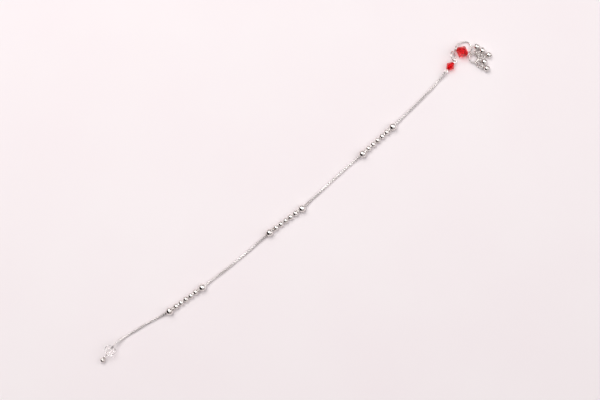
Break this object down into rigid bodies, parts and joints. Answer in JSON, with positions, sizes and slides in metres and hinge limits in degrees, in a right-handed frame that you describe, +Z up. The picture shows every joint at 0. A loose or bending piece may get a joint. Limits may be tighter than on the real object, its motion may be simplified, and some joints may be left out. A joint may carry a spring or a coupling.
{
  "type": "payal anklet",
  "caption": "Slim silver chain anklet with groups of round beads, red and clear crystals, and a bunch of small bells.",
  "frame": {"origin": "middle of the anklet's footprint, on the surface that it lies on", "axes": "+X along the open anklet, from the end ball to the bells; +Z up from the surface"},
  "size_m": [0.2558, 0.0208, 0.0058],
  "materials": {
    "silver": "polished silver, slight grey in the recesses",
    "silver_chain": "fine box chain, polished silver",
    "red_crystal": "clear red cut glass with sharp facets",
    "clear_crystal": "clear cut glass with a faint green and pink sheen"
  },
  "bodies": {
    "root": {"bell_1": "silver", "bell_2": "silver", "bell_3": "silver", "bell_4": "silver", "bell_5": "silver", "bunch_ring": "silver", "chain": "silver_chain", "clear_crystal": "clear_crystal", "collar_1a": "silver", "collar_1b": "silver", "collar_2a": "silver", "collar_2b": "silver", "collar_3a": "silver", "collar_3b": "silver", "connector_ring": "silver", "end_ball": "silver", "hoop": "silver", "hoop_link": "silver", "jump_bell_1_1": "silver", "jump_bell_2_1": "silver", "jump_bell_3_1": "silver", "jump_bell_3_2": "silver", "jump_bell_4_1": "silver", "jump_bell_5_1": "silver", "jump_bell_5_2": "silver", "jump_bell_5_3": "silver", "large_bead_1a": "silver", "large_bead_1b": "silver", "large_bead_2a": "silver", "large_bead_2b": "silver", "large_bead_3a": "silver", "large_bead_3b": "silver", "pin_clear": "silver", "pin_red": "silver", "red_bicone_large": "red_crystal", "red_bicone_small": "red_crystal", "small_bead_1_1": "silver", "small_bead_1_2": "silver", "small_bead_1_3": "silver", "small_bead_1_4": "silver", "small_bead_1_5": "silver", "small_bead_2_1": "silver", "small_bead_2_2": "silver", "small_bead_2_3": "silver", "small_bead_2_4": "silver", "small_bead_2_5": "silver", "small_bead_3_1": "silver", "small_bead_3_2": "silver", "small_bead_3_3": "silver", "small_bead_3_4": "silver", "small_bead_3_5": "silver", "tip_ring": "silver"}
  },
  "joints": []
}
